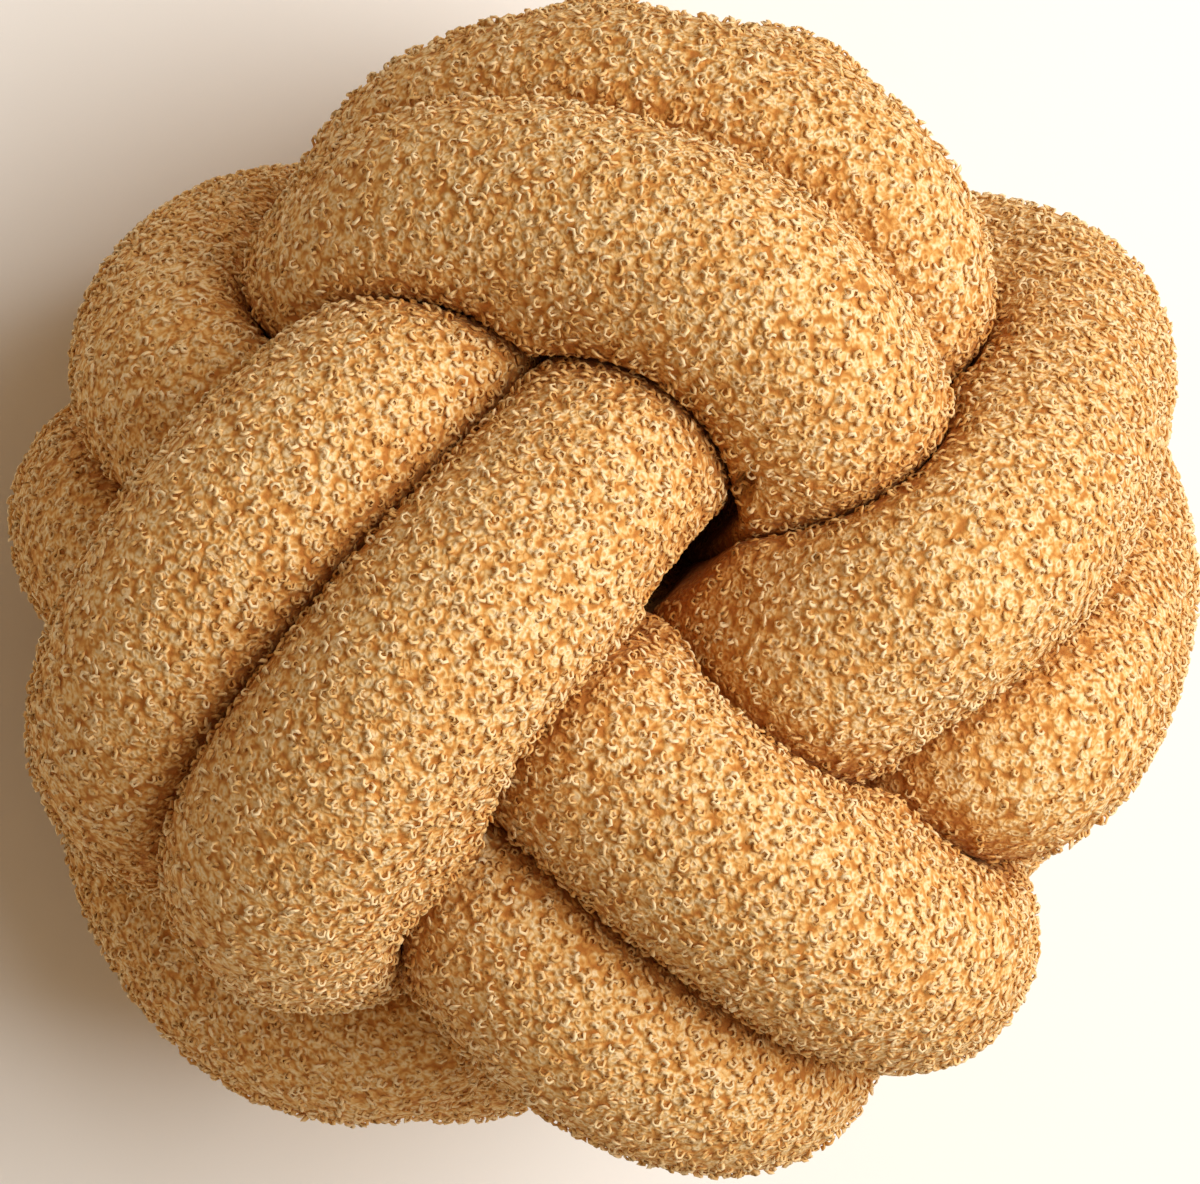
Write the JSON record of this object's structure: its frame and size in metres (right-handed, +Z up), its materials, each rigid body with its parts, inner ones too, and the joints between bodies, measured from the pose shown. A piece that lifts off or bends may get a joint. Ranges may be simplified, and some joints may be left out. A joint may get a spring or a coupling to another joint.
{
  "type": "knot cushion",
  "caption": "Round cushion tied from one long filled tube of looped cloth, laid double and woven over and under itself into a ball.",
  "frame": {"origin": "under the middle of the ball, on the surface that it lies on", "axes": "+Z up, out of the knot's face, along the ball's shortest axis; +Y towards the top of the picture"},
  "size_m": [0.3131, 0.297, 0.2589],
  "materials": {
    "boucle": "looped mustard boucle cloth, matt"
  },
  "bodies": {
    "root": {"knot_tube": "boucle"}
  },
  "joints": []
}
